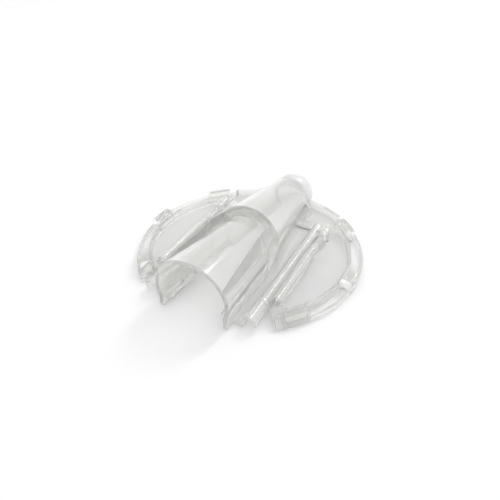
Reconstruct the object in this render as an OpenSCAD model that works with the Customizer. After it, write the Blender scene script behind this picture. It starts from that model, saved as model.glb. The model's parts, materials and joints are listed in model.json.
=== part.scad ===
// Folding cheek retractor in clear rigid plastic, lying open on a flat surface.
// A tunnel-shaped saddle runs front to back and ends in a rounded tail. A half-disc
// wing with a castellated rim is hinged to each side of it. Right-hand pieces are
// drawn at +X and the left-hand ones are their mirror images. All sizes are in mm.

/* [Outline] */
// Outer radius of the round outline of each wing
disc_r = 35; // [30:0.5:40]
// Distance of each wing's arc centre from the middle plane
disc_shift = 2; // [0:0.25:5]

/* [Tunnel] */
// Distance of the open front end ahead of the disc centre
tunnel_front = 34; // [28:0.5:38]
// Outer radius of the tunnel at its open front end
tunnel_front_r = 12; // [10:0.25:14]
// Height of the tunnel's centre line at the front end
tunnel_front_z = 8; // [6:0.25:9]
// Outer radius of the tunnel where it meets the step
tunnel_rear_r = 9.4; // [8:0.1:10]
// Height of the tunnel's centre line at the step
tunnel_rear_z = 4.8; // [4:0.1:6]
// Height below which the tunnel's side walls go straight down
skirt_z = 4.8; // [3.5:0.1:4.8]
// Distance of the step behind the disc centre
step_y = 0; // [-4:0.5:4]
// Wall thickness of the tunnel's roof, the tail and the nose cap
shell_wall = 1.3; // [0.8:0.1:2]

/* [Tunnel sides and tail] */
// Distance of the shoulder, where the outer sides start to narrow, ahead of the disc centre
shoulder = 9; // [4:0.5:14]
// Outer radius at the shoulder
shoulder_r = 11.7; // [11:0.1:12.5]
// Height of the centre line at the shoulder
shoulder_z = 7.5; // [7:0.1:8]
// Half of the roof's width at the step, between the sides' raised crests
roof_half = 7.9; // [7:0.1:8.5]
// Angle at which the roof widens towards the front on each side
roof_angle = 4; // [2:0.25:5]
// Outer radius of the tail where the nose cap starts
neck_r = 7; // [6:0.1:8]
// Height of the tail's centre line where the nose cap starts
neck_z = 5.2; // [4.5:0.1:6]
// Distance of the nose cap's front edge behind the disc centre
neck_y = 31.5; // [28:0.5:32]
// Radius of the nose cap
nose_r = 7.4; // [7:0.1:8]
// Distance of the nose cap's centre behind the disc centre
nose_y = 34.8; // [34:0.1:36]
// Height of the nose cap's centre
nose_z = 3.9; // [3:0.1:5]
// Thickness of the walls that close the step and the top of the tail's rear end
step_wall_t = 1.2; // [0.8:0.1:2]

/* [Side flanges] */
// Distance of the flanges' front edge ahead of the disc centre
flange_front = 31; // [26:0.5:34]
// Thickness of the flanges
flange_t = 1.5; // [1:0.1:2.5]
// Distance behind the disc centre at which the rear decks start
deck_y = 20; // [16:0.5:24]
// Thickness of the rear decks
deck_t = 1.2; // [0.8:0.1:2]
// Height of the lip along the decks' outer edge
deck_lip_h = 3; // [1.5:0.1:5]

/* [Side ridges] */
// Distance of each ridge's centre line from the middle plane
ridge_x = 16.4; // [15:0.1:18]
// Outer radius of the half-round ridges
ridge_r = 1.9; // [1.4:0.1:2.2]
// Height of the ridges' centre line
ridge_z = 2.6; // [2:0.1:3.5]
// Wall thickness of the ridges and front clips
ridge_wall = 0.7; // [0.5:0.05:1]
// Distance of the ridges' front end ahead of the disc centre
ridge_front = 22.5; // [20:0.5:26]
// Outer radius of the front clips
clip_r = 2.2; // [1.8:0.1:2.4]

/* [Hinges] */
// Distance of each hinge axis from the middle plane
hinge_x = 20; // [19.9:0.1:20.3]
// Height of the hinge axes
hinge_z = 3.9; // [3.6:0.1:5]
// Outer radius of the hinge knuckles
knuckle_r = 1.45; // [1.2:0.05:1.8]
// Radius of the hinge pins
pin_r = 0.75; // [0.5:0.05:1]
// Radial clearance of the pins in the wings' knuckles
pin_clear = 0.05; // [0.02:0.01:0.1]
// Radius of the pins' heads
pin_head_r = 1.2; // [0.9:0.05:1.4]
// Thickness of the pins' heads
pin_head_t = 0.8; // [0.5:0.1:1.5]
// Distance of the long knuckle's front end ahead of the disc centre
knuckle_front = 21; // [18:0.5:24]
// Distance of the long knuckle's rear end behind the disc centre
knuckle_split = 5; // [0:0.5:8]
// Length of each of the saddle's two hinge ears
ear_len = 1.5; // [1:0.1:3]
// Free distance between the two ears, where the pin shows
ear_gap = 7; // [3:0.1:9]
// Length of the short knuckle behind the ears
rear_knuckle_len = 4.1; // [3:0.1:4.1]
// End play between neighbouring knuckles
end_play = 0.3; // [0.1:0.05:0.5]

/* [Wing rims] */
// Width of the rims, measured inwards from the outline
rim_w = 4.8; // [3.5:0.1:6]
// Thickness of the rims' flat base
rim_base_t = 1.2; // [0.8:0.1:2]
// Height of the wall along the rims' inner edge
rim_wall_h = 3.2; // [2:0.1:4]
// Thickness of the rims' inner wall
rim_wall_t = 1; // [0.6:0.1:1.5]
// Height of the lip along the rims' outer edge
rim_lip_h = 1.8; // [1.3:0.1:3]
// Thickness of the rims' outer lip
rim_lip_t = 0.9; // [0.6:0.1:1.5]
// Height of the tops of the raised blocks
block_h = 4.4; // [3:0.1:5]
// Distance of the blocks' outer face inside the outline
block_inset = 0.9; // [0.5:0.1:2]
// Half of the angle covered by the middle block
block_half = 7; // [4:0.5:12]
// Angle at which the front window starts, ahead of the middle
window_front = 35; // [28:0.5:40]
// Angle at which the rear window ends and the rearmost block starts
window_rear = 38; // [28:0.5:40]
// Angle at which the rearmost block ends
block_end = 52; // [45:0.5:54]

/* [Wing panels] */
// Thickness of the thin panels inside the rims
panel_t = 0.8; // [0.5:0.1:1.5]
// Height of the panels' underside
panel_z = 1; // [0.5:0.1:2]
// Distance of the panels' inner edge from the middle plane
panel_x = 20.9; // [20.5:0.1:22]
// Thickness of the web below each wing knuckle
web_t = 1; // [0.6:0.1:1.5]

/* [Wing legs] */
// Angle at which the legs start, beside the hinges
leg_start = -54; // [-58:0.5:-52]
// Angle at which the legs end and the rims start
leg_end = -47.5; // [-50:0.5:-44]
// Distance of the legs' toe beyond the outline
leg_out = 0.3; // [0:0.1:1]
// Height of the legs' toe
leg_toe_h = 1.3; // [0.8:0.1:2]
// Height of the legs' heel
leg_heel_h = 4.6; // [3.5:0.1:6]
// Wall thickness of the hollow legs
leg_wall = 0.9; // [0.6:0.1:1.2]

/* [Hidden] */
$fn = 96;
big = 60;                       // half-size of the cutting boxes
over = 40;                      // run of each cone past the two rings that set it
eps = 0.01;
// The origin is at the middle of the whole length, on the surface the part lies on.
shift_y = (tunnel_front - nose_y - nose_r) / 2;
rim_in = disc_r - rim_w;
rim_mid = rim_in + rim_wall_t;
block_out = disc_r - block_inset;
window_out = disc_r - rim_lip_t;
flange_w = ridge_x - ridge_r;
deck_x = 20.6;
deck_lip_t = 1.6;
leg_flat = 0.8;
rim_end = 62;                   // angle just past the rims' straight rear end
ear_y = knuckle_split + end_play;
ear_rear = ear_y + 2 * ear_len + ear_gap;
rear_knuckle_y = ear_rear + end_play;
pin_end = rear_knuckle_y + rear_knuckle_len;
wing_x = deck_x + 0.4;
// Outer radius and centre height at the step, on the way from the shoulder to the neck.
step_run = (step_y + shoulder) / (neck_y + shoulder);
step_r = shoulder_r + step_run * (neck_r - shoulder_r);
step_z = shoulder_z + step_run * (neck_z - shoulder_z);
// Half-width at height skirt_z of a round section, less the tuck of the straight walls.
skirt_tuck = 0.2;
function skirt_x(r, z) = sqrt(r * r - pow(z - skirt_z, 2)) - skirt_tuck;
skirt_front = skirt_x(tunnel_front_r, tunnel_front_z);
skirt_mid = skirt_x(shoulder_r, shoulder_z);
skirt_rear = skirt_x(step_r, step_z);
// Radius of the hole from the tail into the hollow nose cap.
neck_hole_r = sqrt(pow(nose_r - shell_wall, 2) - pow(nose_y - neck_y, 2));
clear_plastic = [0.86, 0.90, 0.88];
panel_plastic = [0.80, 0.82, 0.88];
nose_plastic = [0.95, 0.95, 0.96];
pin_plastic = [0.40, 0.33, 0.28];

module placed() translate([0, shift_y, 0]) children();
module right() placed() children();
module left() placed() mirror([1, 0, 0]) children();

// A full-width block of space between two distances along the part, above the base.
module slab(y0, y1, z0 = 0) translate([-big, y0, z0]) cube([2 * big, y1 - y0, big]);

// A cone whose centre line runs from (y0, z0) to (y1, z1), overlong at both ends.
module leaning_cone(y0, r0, z0, y1, r1, z1) {
    run = norm([y1 - y0, z1 - z0]);
    taper = (r1 - r0) / run;
    translate([0, y0, z0]) rotate([-atan2(y1 - y0, z1 - z0), 0, 0])
        translate([0, 0, -over])
            cylinder(h = run + 2 * over, r1 = r0 - taper * over, r2 = r1 + taper * over);
}
module tunnel_cone(inset = 0)
    leaning_cone(-tunnel_front, tunnel_front_r - inset, tunnel_front_z,
                 step_y, tunnel_rear_r - inset, tunnel_rear_z);
module side_cone()
    leaning_cone(-tunnel_front, tunnel_front_r, tunnel_front_z, -shoulder, shoulder_r, shoulder_z);
module tail_cone(inset = 0)
    leaning_cone(-shoulder, shoulder_r - inset, shoulder_z, neck_y, neck_r - inset, neck_z);
module nose_ball(inset = 0) translate([0, nose_y, nose_z]) sphere(r = nose_r - inset);

// The wedge of space that holds the tunnel's roof and nothing of its sides.
roof_low = 6;                           // height below which it is all side wall
module roof_space() intersection_for(s = [-1, 1])
    translate([-s * roof_half, step_y, roof_low]) rotate([0, 0, -s * roof_angle])
        translate([s > 0 ? 0 : -big, -big, 0]) cube([big, big + over, big]);

// A right-hand block with a straight outer side, from the base up to skirt_z.
module skirt(y0, x0, y1, x1, z0 = 0) translate([0, 0, z0])
    linear_extrude(skirt_z) polygon([[0, y0], [x0, y0], [x1, y1], [0, y1]]);
module front_skirt() skirt(-tunnel_front, skirt_front, -shoulder, skirt_mid);
module shoulder_skirt() skirt(-shoulder, skirt_mid, step_y, skirt_rear);

// The hollow of the tunnel, for the right-hand side.
module tunnel_void() {
    tunnel_cone(shell_wall);
    skirt(-tunnel_front - eps, skirt_x(tunnel_front_r - shell_wall, tunnel_front_z),
          step_y + eps, skirt_x(tunnel_rear_r - shell_wall, tunnel_rear_z), -eps);
}

// Everything inside the outer surface of the saddle's middle, for the right-hand side.
module core() {
    intersection() { side_cone(); slab(-tunnel_front, -shoulder); }
    front_skirt();
    intersection() { tail_cone(); slab(-shoulder, step_y); }
    shoulder_skirt();
    intersection() { tail_cone(); slab(step_y, neck_y); }
    intersection() { nose_ball(); slab(neck_y, big); }
}

// A bar along Y from y0 to y1.
module rod(x, z, r, y0, y1) translate([x, y0, z]) rotate([-90, 0, 0]) cylinder(h = y1 - y0, r = r);

// A sector of a ring about a wing's arc centre.
module ring(r0, r1, z0, z1, a0, a1)
    translate([disc_shift, 0, z0]) rotate([0, 0, a0]) rotate_extrude(angle = a1 - a0)
        translate([r0, 0]) square([r1 - r0, z1 - z0]);

// An inverted channel along Y: half-round above its centre line, straight below it.
module channel(r, z_mid, z_low, y0, y1) {
    rod(ridge_x, z_mid, r, y0, y1);
    translate([ridge_x - r, y0, z_low]) cube([2 * r, y1 - y0, z_mid - z_low]);
}

module roof() difference() {
    intersection() { tunnel_cone(); slab(-tunnel_front, step_y); roof_space(); }
    tunnel_cone(shell_wall);
}
// The child's right half between two distances along the part.
module right_half(y0, y1) intersection() {
    children();
    translate([0, y0, 0]) cube([big, y1 - y0, big]);
}
module tunnel_side() difference() {
    union() {
        right_half(-tunnel_front, -shoulder) side_cone();
        front_skirt();
    }
    tunnel_void();
    roof_space();
}
module shoulder_side() difference() {
    union() {
        right_half(-shoulder, step_y) tail_cone();
        shoulder_skirt();
    }
    tunnel_void();
    roof_space();
}
module step_riser() difference() {
    intersection() { tail_cone(shell_wall); slab(step_y, step_y + step_wall_t); }
    tunnel_cone(shell_wall);
}
module tail_half_tube() difference() {
    intersection() { tail_cone(); slab(step_y, neck_y); }
    intersection() { tail_cone(shell_wall); slab(-big, neck_y - step_wall_t, -over); }
    rod(0, nose_z, neck_hole_r, neck_y - step_wall_t - eps, neck_y + eps);
}
module nose_dome() difference() {
    intersection() { nose_ball(); slab(neck_y, big); }
    nose_ball(shell_wall);
}

flange_rib = [9, 18.2, 5, 1.3, 2.6];    // x, y, length, width and height of the cross rib
module flange() difference() {
    union() {
        translate([0, -flange_front, 0]) cube([flange_w, flange_front + deck_y, flange_t]);
        translate([flange_rib[0], flange_rib[1], 0])
            cube([flange_rib[2], flange_rib[3], flange_rib[4]]);
    }
    core();
}
module ridge() difference() {
    channel(ridge_r, ridge_z, 0, -ridge_front, deck_y);
    channel(ridge_r - ridge_wall, ridge_z, -eps, -ridge_front - eps, deck_y + eps);
}
clip_skirt = 1;                         // straight run of the clip below its centre line
module front_clip() difference() {
    channel(clip_r, ridge_z, ridge_z - clip_skirt, -flange_front, -ridge_front);
    channel(clip_r - ridge_wall, ridge_z, 0, -flange_front - eps, -ridge_front + eps);
}

rail_y = [-32, -20];                    // front and rear ends of the grip rails
rail_z = [2.4, 3.8];                    // underside and top of the grip rails
rail_x = 8.3;                           // inner face of the grip rails
rail_teeth = 5;
tooth_pitch = 1.2;
tooth_gap = 0.5;
module grip_rail() difference() {
    intersection() {
        translate([rail_x, rail_y[0], rail_z[0]])
            cube([tunnel_front_r, rail_y[1] - rail_y[0], rail_z[1] - rail_z[0]]);
        tunnel_void();
    }
    for (i = [0 : rail_teeth - 1])
        translate([rail_x - eps, rail_y[1] - (i + 1) * tooth_pitch, rail_z[1] - tooth_gap])
            cube([tunnel_front_r, tooth_gap, tooth_gap + eps]);
}

module rear_deck() difference() {
    intersection() {
        union() {
            translate([disc_shift, 0, 0]) cylinder(h = deck_t, r = disc_r);
            ring(disc_r - deck_lip_t, disc_r, deck_t, deck_lip_h, 45, 100);
        }
        translate([0, deck_y, 0]) cube([deck_x, big, big]);
    }
    core();
}
hook_pos = [7, 26, 4.2];                // centre of the rear hook's bow
hook_r = 3.9;                           // centre-line radius of the bow
hook_wire_r = 0.6;
module rear_hook() difference() {
    translate(hook_pos) rotate([90, 0, 0])
        rotate_extrude() translate([hook_r, 0]) circle(r = hook_wire_r);
    translate([-big, -big, deck_t - big]) cube([2 * big, 2 * big, big]);
    translate([hook_pos[0] - big, -big, -big]) cube([big, 2 * big, 2 * big]);
    core();
}

bridge_w = 0.9;                         // how far the bridge reaches out from the ridge
bridge_z = [1.2, 2.6];                  // underside and top of the bridge between the ears
ear_arm_top = 3.5;                      // top of the arms that carry the ears
module hinge_ears() difference() {
    union() {
        for (y = [ear_y, ear_y + ear_len + ear_gap]) {
            rod(hinge_x, hinge_z, knuckle_r, y, y + ear_len);
            translate([ridge_x, y, bridge_z[0]])
                cube([hinge_x - ridge_x, ear_len, ear_arm_top - bridge_z[0]]);
        }
        translate([ridge_x, ear_y, bridge_z[0]])
            cube([ridge_r + bridge_w, ear_rear - ear_y, bridge_z[1] - bridge_z[0]]);
    }
    rod(hinge_x, hinge_z, pin_r, ear_y - eps, ear_rear + eps);
    channel(ridge_r, ridge_z, 0, ear_y - eps, ear_rear + eps);
}
module hinge_pin() {
    rod(hinge_x, hinge_z, pin_r, -knuckle_front, pin_end);
    rod(hinge_x, hinge_z, pin_head_r, -knuckle_front - pin_head_t, -knuckle_front);
}

// A knuckle of the wing with the web that carries it on the panel's edge.
module knuckle(y0, y1) difference() {
    union() {
        rod(hinge_x, hinge_z, knuckle_r, y0, y1);
        translate([panel_x - web_t, y0, panel_z]) cube([web_t, y1 - y0, hinge_z - panel_z]);
    }
    rod(hinge_x, hinge_z, pin_r + pin_clear, y0 - eps, y1 + eps);
}
module wing_knuckle() knuckle(-knuckle_front, knuckle_split);
module rear_knuckle() knuckle(rear_knuckle_y, pin_end);

// The rims' rear end is cut straight, along the edge of the rear deck.
module wing_side() intersection() {
    children();
    translate([wing_x, -big, -eps]) cube([big, 2 * big, big]);
}
window_ledge = 0.2;                     // ledge left beside the windows on each side
module wing_rim() wing_side() difference() {
    translate([disc_shift, 0, 0]) rotate([0, 0, leg_end]) rotate_extrude(angle = rim_end - leg_end)
        polygon([[rim_in, 0], [disc_r, 0], [disc_r, rim_lip_h], [window_out, rim_lip_h],
                 [window_out, rim_base_t], [rim_mid, rim_base_t],
                 [rim_mid, rim_wall_h], [rim_in, rim_wall_h]]);
    for (a = [[-window_front, -block_half], [block_half, window_rear]])
        ring(rim_mid + window_ledge, window_out - window_ledge, -eps, rim_base_t + eps, a[0], a[1]);
}
module rim_blocks() {
    ring(rim_mid, block_out, rim_base_t, block_h, leg_end, -window_front);
    ring(rim_mid, block_out, rim_base_t, block_h, -block_half, block_half);
    ring(rim_mid, block_out, rim_base_t, block_h, window_rear, block_end);
}

slot_clear = 0.9;                       // gap of the panel's edge beside the ears
module wing_panel() translate([0, 0, panel_z]) linear_extrude(panel_t) intersection() {
    translate([disc_shift, 0]) circle(r = rim_in);
    difference() {
        translate([panel_x, -big]) square([big, 2 * big]);
        translate([0, knuckle_split]) square([panel_x + slot_clear, rear_knuckle_y - knuckle_split]);
        translate([0, pin_end]) square([wing_x, big]);
    }
}

// The legs close the rims' front ends: a hollow wedge, open below.
leg_pocket = 1.5;                       // angle left solid at each side of the legs' pocket
module wing_leg() difference() {
    translate([disc_shift, 0, 0]) rotate([0, 0, leg_start]) rotate_extrude(angle = leg_end - leg_start)
        polygon([[rim_in, 0], [rim_in, leg_heel_h], [rim_in + leg_flat, leg_heel_h],
                 [disc_r + leg_out, leg_toe_h], [disc_r + leg_out, 0]]);
    translate([disc_shift, 0, 0]) rotate([0, 0, leg_start + leg_pocket])
        rotate_extrude(angle = leg_end - leg_start - 2 * leg_pocket)
            polygon([[rim_in + leg_wall, -eps], [rim_in + leg_wall, leg_heel_h - leg_wall],
                     [disc_r + leg_out - leg_wall, leg_toe_h - leg_wall],
                     [disc_r + leg_out - leg_wall, -eps]]);
}

module tunnel_roof() color(clear_plastic) placed() roof();
module left_tunnel_side() color(clear_plastic) left() tunnel_side();
module right_tunnel_side() color(clear_plastic) right() tunnel_side();
module left_shoulder() color(clear_plastic) left() shoulder_side();
module right_shoulder() color(clear_plastic) right() shoulder_side();
module step_wall() color(clear_plastic) placed() step_riser();
module tail_shell() color(clear_plastic) placed() tail_half_tube();
module nose_cap() color(nose_plastic) placed() nose_dome();
module left_flange() color(clear_plastic) left() flange();
module right_flange() color(clear_plastic) right() flange();
module left_ridge() color(clear_plastic) left() ridge();
module right_ridge() color(clear_plastic) right() ridge();
module left_front_clip() color(clear_plastic) left() front_clip();
module right_front_clip() color(clear_plastic) right() front_clip();
module left_grip_rail() color(clear_plastic) left() grip_rail();
module right_grip_rail() color(clear_plastic) right() grip_rail();
module left_rear_deck() color(clear_plastic) left() rear_deck();
module right_rear_deck() color(clear_plastic) right() rear_deck();
module left_rear_hook() color(clear_plastic) left() rear_hook();
module right_rear_hook() color(clear_plastic) right() rear_hook();
module left_hinge_ears() color(clear_plastic) left() hinge_ears();
module right_hinge_ears() color(clear_plastic) right() hinge_ears();
module left_hinge_pin() color(pin_plastic) left() hinge_pin();
module right_hinge_pin() color(pin_plastic) right() hinge_pin();
module left_wing_knuckle() color(clear_plastic) left() wing_knuckle();
module right_wing_knuckle() color(clear_plastic) right() wing_knuckle();
module left_rear_knuckle() color(clear_plastic) left() rear_knuckle();
module right_rear_knuckle() color(clear_plastic) right() rear_knuckle();
module left_wing_rim() color(clear_plastic) left() wing_rim();
module right_wing_rim() color(clear_plastic) right() wing_rim();
module left_rim_blocks() color(clear_plastic) left() rim_blocks();
module right_rim_blocks() color(clear_plastic) right() rim_blocks();
module left_wing_panel() color(panel_plastic) left() wing_panel();
module right_wing_panel() color(panel_plastic) right() wing_panel();
module left_wing_leg() color(clear_plastic) left() wing_leg();
module right_wing_leg() color(clear_plastic) right() wing_leg();

tunnel_roof();
left_tunnel_side();
right_tunnel_side();
left_shoulder();
right_shoulder();
step_wall();
tail_shell();
nose_cap();
left_flange();
right_flange();
left_ridge();
right_ridge();
left_front_clip();
right_front_clip();
left_grip_rail();
right_grip_rail();
left_rear_deck();
right_rear_deck();
left_rear_hook();
right_rear_hook();
left_hinge_ears();
right_hinge_ears();
left_hinge_pin();
right_hinge_pin();
left_wing_knuckle();
right_wing_knuckle();
left_rear_knuckle();
right_rear_knuckle();
left_wing_rim();
right_wing_rim();
left_rim_blocks();
right_rim_blocks();
left_wing_panel();
right_wing_panel();
left_wing_leg();
right_wing_leg();
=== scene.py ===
"""Clear folding cheek retractor on a white floor: looks, light and camera."""
import json
import math

import bmesh
import bpy
from mathutils import Matrix, Vector


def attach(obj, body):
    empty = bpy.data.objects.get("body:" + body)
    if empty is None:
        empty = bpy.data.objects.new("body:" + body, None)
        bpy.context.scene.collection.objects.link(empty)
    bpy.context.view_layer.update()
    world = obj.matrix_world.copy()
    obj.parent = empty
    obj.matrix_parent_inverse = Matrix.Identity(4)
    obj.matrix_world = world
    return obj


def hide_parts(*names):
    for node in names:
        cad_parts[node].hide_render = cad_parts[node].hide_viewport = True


MM = 0.001

# Camera: a 36 mm lens close above the front of the part, a little to its right.
CAMERA_AZIMUTH = math.radians(28.73)
CAMERA_ELEVATION = math.radians(37.75)
CAMERA_ROLL = math.radians(-1.0)
CAMERA_DISTANCE = 167.0 * MM
CAMERA_LENS = 36.0
CAMERA_SENSOR = 36.0
CAMERA_NEAR = 10 * MM
CAMERA_TARGET = Vector((-0.31, -3.09, 0.0)) * MM

WALL_CROSSINGS = 40         # how many clear walls one ray of light may meet

EDGE_ROUND = 0.15 * MM      # radius of the moulded edges
SHARP_EDGE = math.radians(30)
SEAM_GAP = 0.01 * MM        # hair gap between pieces that touch
WELD = 0.001 * MM           # points this close are one point
FLAT_ANGLE = math.radians(0.3)
ROUNDING_STEPS = 2

# The clear plastic: a soft-edged body under a glossy skin, with faint flow marks.
BODY_IOR = 1.2
SKIN_IOR = 1.5
FLOW_SCALE = 140
FLOW_DETAIL = 3
FLOW_SHADE = 0.97           # tint in the darkest flow marks
FLOW_ROUGHENS = 2.5         # roughness in the roughest, times the smoothest
FLOW_BUMP = 0.08
FLOW_HEIGHT = 0.1 * MM

FLOOR_COLOUR = (0.90, 0.90, 0.905)
FLOOR_SIZE = 6.0
FLOOR_DROP = -0.03 * MM     # a hair below the part, so that no faces coincide
FLOOR_ROUGHNESS = 0.8

WORLD_STRENGTH = 0.99
VIEW_GAMMA = 1.2
# Soft lights: where, width, height (m), power (W)
LIGHTS = {
    "key_behind": ((0.10, 0.40, 0.55), 0.30, 0.30, 0.4),
    "strip_behind": ((0.10, 0.40, 0.42), 0.015, 0.25, 0.6),
}

# Plastics: tint, tint deep inside, density of that (per m), roughness, haze, skin roughness
PLASTICS = {
    "clear_saddle": ((1.0, 1.0, 0.985), (0.50, 0.50, 0.40), 2, 0.03, 0.16, 0.03),
    "frosted_saddle": ((1.0, 1.0, 0.985), (0.50, 0.50, 0.40), 4, 0.06, 0.15, 0.15),
    "clear_wing": ((1.0, 1.0, 0.985), (0.50, 0.52, 0.40), 6, 0.02, 0.06, 0.03),
    "clear_panel": ((1.0, 1.0, 0.995), (0.50, 0.50, 0.50), 2, 0.04, 0.12, 0.03),
    "hazy_nose": ((0.97, 0.97, 0.975), (0.6, 0.6, 0.6), 5, 0.2, 0.45, 0.15),
    "smoky_pin": ((0.99, 0.98, 0.97), (0.45, 0.36, 0.28), 40, 0.04, 0.1, 0.03),
}
PLASTIC_OF_SLOT = {
    "saddle_plastic": "clear_saddle",
    "wing_plastic": "clear_wing",
    "panel_plastic": "clear_panel",
    "nose_plastic": "hazy_nose",
    "pin_plastic": "smoky_pin",
}
FROSTED_NODES = ("tunnel_roof", "left_shoulder", "right_shoulder", "tail_shell")


def material(name):
    """A new node material, its node tree and its principled shader."""
    made = bpy.data.materials.new(name)
    made.use_nodes = True
    tree = made.node_tree
    return made, tree, tree.nodes["Principled BSDF"]


def clear_plastic(name, face_tint, depth_tint, depth, roughness, haze, polish):
    """Clear moulded plastic: pale through a thin wall, darker the further light goes in it."""
    made, tree, shader = material(name)
    shader.inputs["Transmission Weight"].default_value = 1.0 - haze
    shader.inputs["IOR"].default_value = BODY_IOR
    shader.inputs["Coat Weight"].default_value = 1.0
    shader.inputs["Coat Roughness"].default_value = polish
    shader.inputs["Coat IOR"].default_value = SKIN_IOR
    place = tree.nodes.new("ShaderNodeTexCoord")
    flow = tree.nodes.new("ShaderNodeTexNoise")
    flow.inputs["Scale"].default_value = FLOW_SCALE
    flow.inputs["Detail"].default_value = FLOW_DETAIL
    tree.links.new(place.outputs["Object"], flow.inputs["Vector"])
    tint = tree.nodes.new("ShaderNodeMix")
    tint.data_type = "RGBA"
    tint.inputs["A"].default_value = (*face_tint, 1)
    tint.inputs["B"].default_value = (*[FLOW_SHADE * c for c in face_tint], 1)
    tree.links.new(flow.outputs["Fac"], tint.inputs["Factor"])
    tree.links.new(tint.outputs["Result"], shader.inputs["Base Color"])
    gloss = tree.nodes.new("ShaderNodeMapRange")
    gloss.inputs["To Min"].default_value = roughness
    gloss.inputs["To Max"].default_value = roughness * FLOW_ROUGHENS
    tree.links.new(flow.outputs["Fac"], gloss.inputs["Value"])
    tree.links.new(gloss.outputs["Result"], shader.inputs["Roughness"])
    bump = tree.nodes.new("ShaderNodeBump")
    bump.inputs["Strength"].default_value = FLOW_BUMP
    bump.inputs["Distance"].default_value = FLOW_HEIGHT
    tree.links.new(flow.outputs["Fac"], bump.inputs["Height"])
    tree.links.new(bump.outputs["Normal"], shader.inputs["Normal"])
    tree.links.new(bump.outputs["Normal"], shader.inputs["Coat Normal"])
    inside = tree.nodes.new("ShaderNodeVolumeAbsorption")
    inside.inputs["Color"].default_value = (*depth_tint, 1)
    inside.inputs["Density"].default_value = depth
    output = tree.nodes["Material Output"]
    tree.links.new(inside.outputs["Volume"], output.inputs["Volume"])
    return made


def moulded_copy(node, obj, body, plastic):
    """A copy of a CAD piece with rounded edges, a hair smaller all round."""
    shape = bmesh.new()
    shape.from_mesh(obj.data)
    bmesh.ops.remove_doubles(shape, verts=shape.verts, dist=WELD)
    bmesh.ops.dissolve_limit(shape, angle_limit=FLAT_ANGLE, verts=shape.verts, edges=shape.edges)
    shape.normal_update()
    for corner in shape.verts:
        corner.co -= corner.normal * SEAM_GAP
    for face in shape.faces:
        face.smooth = True
    for edge in shape.edges:
        edge.smooth = edge.calc_face_angle(0.0) < SHARP_EDGE
    mesh = bpy.data.meshes.new(node + "_moulded")
    shape.to_mesh(mesh)
    shape.free()
    mesh.materials.append(plastic)
    piece = bpy.data.objects.new(node + "_moulded", mesh)
    bpy.context.scene.collection.objects.link(piece)
    rounding = piece.modifiers.new("rounding", "BEVEL")
    rounding.width = EDGE_ROUND
    rounding.segments = ROUNDING_STEPS
    rounding.limit_method = "ANGLE"
    rounding.angle_limit = SHARP_EDGE
    rounding.harden_normals = True
    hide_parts(node)
    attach(piece, body)


def make_floor():
    bpy.ops.mesh.primitive_plane_add(size=FLOOR_SIZE)
    floor = bpy.context.object
    floor.name = "floor"
    floor.location.z = FLOOR_DROP
    made, tree, shader = material("floor_paper")
    shader.inputs["Base Color"].default_value = (*FLOOR_COLOUR, 1)
    shader.inputs["Roughness"].default_value = FLOOR_ROUGHNESS
    floor.data.materials.append(made)


def make_camera():
    data = bpy.data.cameras.new("camera")
    data.lens = CAMERA_LENS
    data.sensor_width = CAMERA_SENSOR
    data.clip_start = CAMERA_NEAR
    camera = bpy.data.objects.new("camera", data)
    bpy.context.scene.collection.objects.link(camera)
    outward = Vector((math.sin(CAMERA_AZIMUTH) * math.cos(CAMERA_ELEVATION),
                      -math.cos(CAMERA_AZIMUTH) * math.cos(CAMERA_ELEVATION),
                      math.sin(CAMERA_ELEVATION)))
    camera.location = CAMERA_TARGET + CAMERA_DISTANCE * outward
    aim = (-outward).to_track_quat("-Z", "Y").to_matrix() @ Matrix.Rotation(CAMERA_ROLL, 3, "Z")
    camera.rotation_euler = aim.to_euler()
    bpy.context.scene.camera = camera


def area_light(name, place, width, height, power):
    """A soft light at place, aimed at the part."""
    data = bpy.data.lights.new(name, "AREA")
    data.shape = "RECTANGLE"
    data.size = width
    data.size_y = height
    data.energy = power
    light = bpy.data.objects.new(name, data)
    bpy.context.scene.collection.objects.link(light)
    light.location = place
    light.rotation_euler = (-Vector(place)).to_track_quat("-Z", "Y").to_euler()


def make_light():
    world = bpy.data.worlds.new("studio")
    bpy.context.scene.world = world
    world.use_nodes = True
    back = world.node_tree.nodes["Background"]
    back.inputs["Color"].default_value = (1, 1, 1, 1)
    back.inputs["Strength"].default_value = WORLD_STRENGTH
    for name, light in LIGHTS.items():
        area_light(name, *light)
    view = bpy.context.scene.view_settings
    view.view_transform = "Standard"
    view.gamma = VIEW_GAMMA


def let_light_through():
    """Light may pass many stacked clear walls before it is given up."""
    paths = bpy.context.scene.cycles
    paths.max_bounces = WALL_CROSSINGS
    paths.transmission_bounces = WALL_CROSSINGS
    paths.glossy_bounces = WALL_CROSSINGS
    paths.diffuse_bounces = WALL_CROSSINGS
    paths.transparent_max_bounces = WALL_CROSSINGS


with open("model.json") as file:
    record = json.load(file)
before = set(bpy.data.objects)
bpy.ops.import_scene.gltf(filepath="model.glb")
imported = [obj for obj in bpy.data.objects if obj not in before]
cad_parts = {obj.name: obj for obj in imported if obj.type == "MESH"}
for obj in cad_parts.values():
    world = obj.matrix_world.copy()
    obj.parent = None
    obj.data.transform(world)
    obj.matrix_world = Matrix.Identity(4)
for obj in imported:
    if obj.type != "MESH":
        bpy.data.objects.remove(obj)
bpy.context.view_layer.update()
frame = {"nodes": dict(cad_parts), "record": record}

slot_of = {part["node"]: part["material_slot"] for part in frame["record"]["subparts"]}
plastics = {name: clear_plastic(name, *look) for name, look in PLASTICS.items()}
for body, nodes in frame["record"]["behaviour"]["bodies"].items():
    for node in nodes:
        slot = slot_of[node]
        look = "frosted_saddle" if node in FROSTED_NODES else PLASTIC_OF_SLOT[slot]
        moulded_copy(node, frame["nodes"][node], body, plastics[look])

make_floor()
make_camera()
make_light()
let_light_through()
